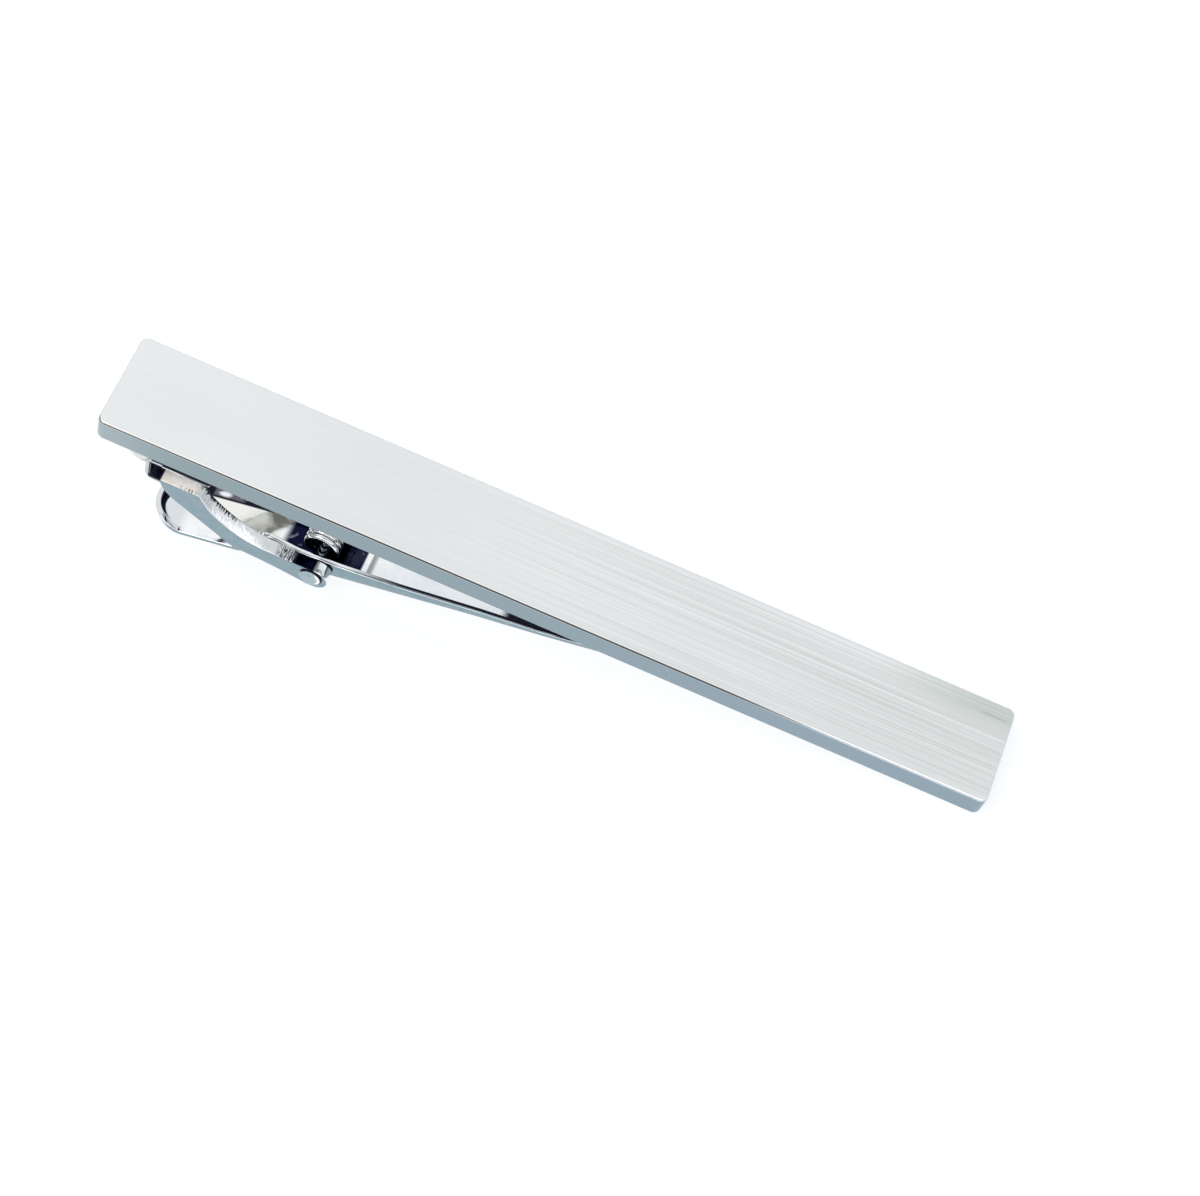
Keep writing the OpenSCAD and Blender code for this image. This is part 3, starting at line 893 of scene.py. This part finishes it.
def plate_material():
    """Bright plating over stamped steel, faintly wavy, with painted dark reflections in the corners and
    painted shadow under the coil.
    """
    mat, tree, shader = new_material("bright_plating")
    at, normal = laid_back(tree, ON_LEVER)
    u, y, v = parts(tree, at)
    wave = noise(tree, at, (1.6, 1.3, 1.6))
    scratch = noise(tree, at, (2.4, 0.05, 0.05), rough=0.6, offset=4.4)
    stain = patches(tree, at, (1.1, 0.8, 1.1))
    smudge = step(tree, noise(tree, at, (0.5, 0.7, 0.5), rough=0.6, offset=1.8), 0.56, 0.70)
    across = size_of(tree, y)
    side = facing_side(tree, normal)
    up = facing_up(tree, normal, ON_LEVER)
    inside = step(tree, across, 1.85, 1.81)
    above = step(tree, v, -FLOOR_DROP - 0.7 * SHEET_T, -FLOOR_DROP - 0.4 * SHEET_T)
    on_floor = zone(tree, inside, above)

    tab = zone(tree, (u, -8.6, -9.6), flipped(tree, side))
    # Painted shadow on the floor under the coil, navy, with a soft, patchy painted glint towards the jaw.
    under_coil = zone(tree, on_floor, (u, -3.1, -2.5), (u, 2.5, 2.35))
    from_glint = radius_squared(tree, u, total(tree, y, 0.6), 1.8)
    glint = zone(tree, (from_glint, 0.60, 0.0), between(tree, smudge, 0.03, 0.7))
    coil_shadow = mix(tree, largest(tree, glint, product(tree, smudge, 0.3)), NAVY, GLINT)
    # Painted warm reflection on the floor between the thumb tab and the coil.
    cream = zone(tree, on_floor, (u, -9.6, -8.6), (u, -2.8, -3.4), (y, -1.2, -0.4))

    # Painted reflection of the far wall on the floor beside it: mottled purple-grey, with a painted
    # highlight near its start, a dark line along its edge and its start, and dark patches further along.
    strip = zone(tree, on_floor, (y, 0.87, 0.97), (u, -10.0, -9.4), (u, -3.7, -4.6))
    squeezed = product(tree, u, SPOT_SQUEEZE)
    from_spot = radius_squared(tree, squeezed, minus(tree, y, SPOT_Y), SPOT_U * SPOT_SQUEEZE)
    strip_edge = largest(tree, step(tree, y, 1.12, 1.02), step(tree, u, -8.1, -8.3))
    strip_dark_reflections = zone(tree, (u, -6.4, -6.0), (smudge, 0.9, 0.5))
    strip_colour = paint(
        tree, mix(tree, smudge, STRIP_DARK, STRIP_PALE),
        (step(tree, from_spot, 0.06, 0.0), STRIP_HIGHLIGHT),
        (largest(tree, strip_edge, strip_dark_reflections), BLACK),
    )

    fold_line = zone(tree, on_floor, (u, 2.72, 2.82), (u, 3.25, 2.95), 0.8)
    # Painted dark reflection on the channel's floor from near the jaw on.
    far_end = zone(tree, inside, (up, 0.4, 0.7), (u, 11.3, 12.0))
    # Painted dark reflection along the walls' top edges, past the coil.
    rim_dark_reflection = zone(tree, (across, 2.05, 1.97), (across, 1.68, 1.76), (up, 0.25, 0.5), (u, 1.5, 5.5))
    # Painted slate reflection on the outer part of the walls' top edges, past the coil.
    lip = zone(tree, (across, 1.98, 2.04), (up, 0.1, 0.4), (u, 1.0, 4.5))
    from_tab = radius_squared(tree, u, y, TAB_X)
    # Painted dark reflection on the inner wall of the thumb tab's rounded end.
    tip_wall = zone(
        tree, above, (from_tab, 1.55 ** 2, 1.66 ** 2), (from_tab, 1.84 ** 2, 1.80 ** 2),
        (u, TAB_X - 0.3, TAB_X - 0.9), (y, -1.6, -1.0),
    )
    plated = mix(tree, stain, PLATE_DULL, PLATE_BRIGHT)
    plated = paint(
        tree, mix(tree, side, plated, mix(tree, stain, WALL_REFLECTION_DULL, WALL_REFLECTION_BRIGHT)),
        (tab, TAB),
        (under_coil, coil_shadow),
        (cream, CREAM),
        (strip, strip_colour),
        (fold_line, FOLD),
        (far_end, BLACK),
        (rim_dark_reflection, BLACK),
        (lip, LIP),
        (tip_wall, NAVY),
    )
    set_surface(
        tree, shader,
        colour=plated,
        rough=total(tree, spread(tree, scratch, 0.35, 0.75, 0.05, 0.12), between(tree, side, 0.0, 0.16)),
        height=total(tree, wave, between(tree, scratch, 0.0, 0.10)),
        depth=0.000012,
    )
    return mat


# The fork's colours

CUT, PAD_WARM, PAD_PALE, DIRT = (0.97, 0.985, 1.0), (1.0, 0.93, 0.84), (1.0, 0.98, 0.95), (0.22, 0.16, 0.10)
FOLD_BACK, SHEET_EDGE = (0.42, 0.46, 0.48), (0.56, 0.60, 0.62)
FOOT_PALE, FOOT_DARK = (0.90, 0.91, 0.91), (0.34, 0.36, 0.37)
# Painted shade on the arms' inner faces, from dark to pale.
INNER_DARK, INNER_GREY, INNER_PALE = (0.10, 0.09, 0.14), (0.30, 0.30, 0.29), (0.80, 0.80, 0.77)


def fork_material():
    """The same plating on the fork, whose cut top edges keep rough marks across the cut, with painted shade
    and reflections.
    """
    mat, tree, shader = new_material("fork_plating")
    at, normal = laid_back(tree, ABOUT_PIVOT)
    x, y, z = parts(tree, at)
    wave = noise(tree, at, (1.6, 1.3, 1.6))
    scratch = noise(tree, at, (2.4, 2.4, 0.06), rough=0.6, offset=4.4)
    shear = noise(tree, at, (0.07, 0.5, 0.4), detail=3.0, rough=0.7, offset=2.2)
    stain = patches(tree, at, (0.7, 0.6, 0.7))
    across = size_of(tree, y)
    side = facing_side(tree, normal)
    up = facing_up(tree, normal, ABOUT_PIVOT)

    cut = zone(tree, (up, 0.2, 0.5), (x, -0.9, -1.9), (z, 4.6, 4.2))
    pad = zone(tree, cut, (x, -7.4, -8.0), (x, -9.95, -9.85))
    dirt = zone(tree, pad, (x, -8.9, -8.3), (across, 2.75, 2.9), (shear, 0.46, 0.58))
    # Painted shade in a jagged band along the inner side of the arms' cut tops.
    jag_line = total(tree, across, swing(tree, shear, -0.28, 0.28))
    jagged_shade = zone(tree, (jag_line, 2.42, 2.34), cut, (x, -7.7, -7.4), (x, -4.6, -5.6))
    # Painted dark reflection, mottled, on the arms' tops by the ears.
    ear_reflection_mottle = largest(tree, step(tree, shear, 0.42, 0.56), step(tree, x, -1.5, -1.1))
    ear = zone(tree, (x, -2.6, -2.0), (x, 0.25, 0.0), (up, 0.4, 0.7), ear_reflection_mottle)
    flat = paint(
        tree, mix(tree, stain, PLATE_DULL, PLATE_BRIGHT),
        (cut, CUT),
        (pad, mix(tree, stain, PAD_WARM, PAD_PALE)),
        (dirt, DIRT),
        (jagged_shade, BLACK),
        (ear, NAVY),
        # Painted shadow in a black line where the foot meets the bar, and a painted dark reflection in the
        # fold's bend.
        (zone(tree, (z, 5.10, 5.18), (x, -10.1, -9.9)), BLACK),
        (zone(tree, (x, -10.64, -10.58), (x, -9.85, -9.95)), NAVY),
        (step(tree, x, -10.80, -10.88), FOLD_BACK),
    )

    # Painted dark reflection on the fold's side faces, navy, paler along the sheet's rims.
    sheet_rim = largest(
        tree, step(tree, x, -10.66, -10.72), step(tree, z, 5.04, 5.10), step(tree, z, 3.46, 3.40),
    )
    # The foot's side faces run pale near the fold to darker towards the arms, with a painted black shadow
    # along their top, in the gap under the bar.
    foot_edge = mix(tree, step(tree, x, -9.0, -8.2), FOOT_PALE, FOOT_DARK)
    foot_edge = mix(tree, step(tree, z, 5.06, 5.12), foot_edge, BLACK)
    # Painted shade on the arms' inner faces: darkest by the pivot, grey in the middle, pale towards the
    # foot.
    inner = mix(tree, step(tree, x, -3.4, -4.4), INNER_DARK, INNER_GREY)
    inner = mix(tree, step(tree, x, -5.3, -6.1), inner, INNER_PALE)
    wall = paint(
        tree, mix(tree, stain, WALL_REFLECTION_DULL, WALL_REFLECTION_BRIGHT),
        (step(tree, z, 4.4, 4.7), foot_edge),
        (step(tree, x, -9.85, -9.95), mix(tree, sheet_rim, NAVY, SHEET_EDGE)),
        (step(tree, across, 2.5, 2.4), inner),
    )
    marks = product(tree, spread(tree, shear, 0.35, 0.75, 0.0, 1.7), cut)
    set_surface(
        tree, shader,
        colour=mix(tree, side, flat, wall),
        rough=total(
            tree, spread(tree, scratch, 0.35, 0.75, 0.06, 0.13),
            between(tree, side, 0.0, 0.16), between(tree, cut, 0.0, 0.16),
        ),
        height=total(tree, marks, between(tree, wave, 0.0, 0.5), between(tree, scratch, 0.0, 0.05)),
        depth=0.000016,
        metallic=minus(tree, 1.0, between(tree, cut, 0.0, 0.4), between(tree, pad, 0.0, 0.6)),
    )
    return mat


# The rivet's colours

# The dome's slate blues are a painted reflection, and the pale tone a painted highlight.
DOME_DULL, DOME_BRIGHT, CRESCENT_HIGHLIGHT = (0.34, 0.43, 0.48), (0.42, 0.50, 0.54), (0.95, 0.96, 0.97)


def rivet_material():
    """Plated steel, struck into a low dome, with painted reflection, rim shade and a curved highlight."""
    mat, tree, shader = new_material("struck_plating")
    at, _ = laid_back(tree, ABOUT_PIVOT)
    x, _, z = parts(tree, at)
    dents = noise(tree, at, (0.3, 0.3, 0.3))
    off_axis = radius_squared(tree, x, z)
    upward = total(tree, product(tree, x, 0.5), product(tree, z, 0.85))
    # Painted highlight curved round the dome.
    crescent_highlight = zone(
        tree, (off_axis, 0.40 ** 2, 0.50 ** 2), (off_axis, 0.64 ** 2, 0.60 ** 2),
        (x, 0.15, 0.4), (z, -0.45, -0.2),
    )
    # Painted shade on the upper side of the head's rim.
    rim = zone(tree, (off_axis, 0.62 ** 2, 0.67 ** 2), (upward, -0.2, 0.0))
    # The dome's slate blue is a painted reflection, like the walls'.
    dome = mix(tree, patches(tree, at, (0.6, 0.6, 0.6)), DOME_DULL, DOME_BRIGHT)
    set_surface(
        tree, shader,
        colour=paint(tree, dome, (crescent_highlight, CRESCENT_HIGHLIGHT), (rim, BLACK)),
        rough=swing(tree, dents, 0.08, 0.16),
        height=dents,
        depth=0.000008,
    )
    return mat


# The wire's colours

WIRE_DULL, WIRE_BRIGHT, WIRE_SHADE = (0.84, 0.86, 0.88), (0.92, 0.92, 0.92), (0.02, 0.022, 0.05)


def wire_material():
    """Drawn spring wire with fine marks round and along it, with painted shade inside the coil and low on
    it.
    """
    mat, tree, shader = new_material("drawn_wire")
    at, _ = laid_back(tree, ABOUT_PIVOT)
    x, _, z = parts(tree, at)
    drawn = noise(tree, at, (0.35, 0.04, 0.35), rough=0.6)
    stain = patches(tree, at, (0.5, 0.5, 0.5), detail=2.0, rough=0.5, offset=5.0)
    z = minus(tree, z, COIL_AT[1])
    off_axis = radius_squared(tree, x, z, COIL_AT[0])
    # Painted shade inside the coil and on its lower turns.
    inside = step(tree, off_axis, (COIL_R + 0.02) ** 2, (COIL_R - 0.06) ** 2)
    low_down = zone(tree, (z, 0.1, -0.5), (x, -1.6, -1.1))
    wire = mix(tree, stain, WIRE_DULL, WIRE_BRIGHT)
    set_surface(
        tree, shader,
        colour=mix(tree, largest(tree, inside, low_down), wire, WIRE_SHADE),
        rough=swing(tree, drawn, 0.08, 0.22),
        height=drawn,
        depth=0.000004,
    )
    return mat


# The solder's colours

SOLDER_DULL, SOLDER_BRIGHT = (0.84, 0.86, 0.88), (0.95, 0.96, 0.97)


def solder_material():
    """Solder that flowed and set in soft lumps, plated over where it shows, with painted shade under the
    foot.
    """
    mat, tree, shader = new_material("flowed_solder")
    at, _ = laid_back(tree, AS_IT_LIES)
    x = parts(tree, at)[0]
    lumps = noise(tree, at, (0.5, 0.6, 0.5), detail=3.0, rough=0.55)
    pits = noise(tree, at, (0.09, 0.09, 0.09), rough=0.6, offset=6.1)
    plated = mix(tree, step(tree, lumps, PATCH_OFF, PATCH_ON), SOLDER_DULL, SOLDER_BRIGHT)
    # Painted shade on the solder under the foot.
    under_foot = step(tree, x, FOLD_X - 0.05, FOLD_X + 0.25)
    set_surface(
        tree, shader,
        colour=mix(tree, under_foot, plated, BLACK),
        rough=swing(tree, pits, 0.14, 0.30),
        height=total(tree, lumps, between(tree, pits, 0.0, 0.12)),
        depth=0.000015,
        metallic=between(tree, under_foot, 0.35, 1.0),
    )
    return mat


# The studio's colours, and how much of the white behind shows through the floor

FLOOR_TONE, CARD_TONE, FLOOR_LIFT = (0.25, 0.25, 0.25), (0.06, 0.075, 0.11), 0.76


def matt(tree, colour):
    """A matt shader of this colour."""
    made = node(tree, "BsdfDiffuse")
    made.inputs["Color"].default_value = (*colour, 1)
    return made.outputs[0]


def floor_material():
    """A milky white floor that keeps the clip's shadow and shows the jaw when it swings down through it."""
    mat = bpy.data.materials.new("paper")
    tree = bare_tree(mat)
    rays = node(tree, "LightPath").outputs
    seen = largest(tree, rays["Is Camera Ray"], rays["Is Glossy Ray"], rays["Is Transmission Ray"])
    clear = node(tree, "BsdfTransparent")
    tree.links.new(product(tree, seen, FLOOR_LIFT), clear.inputs["Color"])
    both = node(tree, "AddShader")
    tree.links.new(matt(tree, FLOOR_TONE), both.inputs[0])
    tree.links.new(clear.outputs[0], both.inputs[1])
    tree.links.new(both.outputs[0], node(tree, "OutputMaterial").inputs[0])
    return mat


def card_material():
    """Dark matt card."""
    mat = bpy.data.materials.new("dark_card")
    tree = bare_tree(mat)
    tree.links.new(matt(tree, CARD_TONE), node(tree, "OutputMaterial").inputs[0])
    return mat


for piece, finish in (
    (make_bar(), brushed_material()),
    (make_bracket(), fork_material()),
    (make_solder(), solder_material()),
    (make_lever(), plate_material()),
    (make_pin(), rivet_material()),
    (make_spring(), wire_material()),
):
    piece.data.materials.clear()
    piece.data.materials.append(finish)

# The camera, worked out from the bar's edges in the photograph, in metres and degrees

CAMERA_AT, CAMERA_TURN = (0.029187, -0.086463, 0.149263), (31.993, -1.7365, 19.8823)
CAMERA_LENS, SENSOR_W = 88.6537, 36.0

camera_data = bpy.data.cameras.new("camera")
camera_data.lens = CAMERA_LENS
camera_data.sensor_width = SENSOR_W
camera_data.clip_start = 0.01
camera_data.clip_end = 10.0
camera = place("camera", camera_data)
camera.location = CAMERA_AT
camera.rotation_euler = [math.radians(turn) for turn in CAMERA_TURN]
bpy.context.scene.camera = camera

# The floor and the cards, in metres

FLOOR_HALF = 2.0
CARD_DISTANCE, CARD_RISE, CARD_LEAN, CARD_FOOT, CARD_STEPS = 1.3, 0.30, 0.12, 0.001, 48


def make_floor():
    """A wide flat floor under the clip."""
    corners = [(FLOOR_HALF * sx, FLOOR_HALF * sy, 0) for sx, sy in ((-1, -1), (1, -1), (1, 1), (-1, 1))]
    floor = new_object("floor", corners, [(0, 1, 2, 3)])
    floor.data.materials.append(floor_material())


def make_cards():
    """A low ring of dark card, taller on the near side, for the bright metal to mirror."""
    foot, top = [], []
    for k in range(CARD_STEPS):
        a = 2 * math.pi * k / CARD_STEPS
        lean = CARD_LEAN * math.sin(a)
        height = CARD_DISTANCE * math.tan(math.asin(CARD_RISE / math.hypot(1, lean)) - math.atan(lean))
        foot.append((CARD_DISTANCE * math.cos(a), CARD_DISTANCE * math.sin(a), CARD_FOOT))
        top.append((CARD_DISTANCE * math.cos(a), CARD_DISTANCE * math.sin(a), height))
    cards = new_object("cards", foot + top, ring_faces(2, CARD_STEPS))
    cards.data.materials.append(card_material())
    cards.visible_camera = False
    cards.visible_diffuse = False
    cards.visible_shadow = False


make_floor()
make_cards()

# Light. A lamp has a name, a direction from the clip, a distance and a side in metres, and a brightness
# where 1 is white.

WORLD_TONE = (0.98, 1.0, 1.02)
LAMPS = (
    ("key", (-0.1, -0.28, 0.95), 0.9, 0.5, 0.35),
    ("right", (0.62, -0.36, 0.69), 0.8, 0.46, 1.3),
    ("front", (-0.40, -0.47, 0.79), 0.85, 0.5, 2.0),
)


def make_world():
    """Plain white all round."""
    world = bpy.data.worlds.new("studio")
    bpy.context.scene.world = world
    tree = bare_tree(world)
    back = node(tree, "Background")
    back.inputs["Color"].default_value = (*WORLD_TONE, 1)
    tree.links.new(back.outputs[0], node(tree, "OutputWorld").inputs[0])


def area_lamp(name, direction, distance, size, brightness):
    """A square soft lamp that faces the clip."""
    data = bpy.data.lights.new(name, "AREA")
    data.shape = "SQUARE"
    data.size = size
    data.energy = brightness * math.pi * size * size
    lamp = place(name, data)
    way = Vector(direction).normalized()
    lamp.location = way * distance
    lamp.rotation_euler = way.to_track_quat("Z", "Y").to_euler()


make_world()
for settings in LAMPS:
    area_lamp(*settings)

bpy.context.scene.view_settings.view_transform = "Standard"
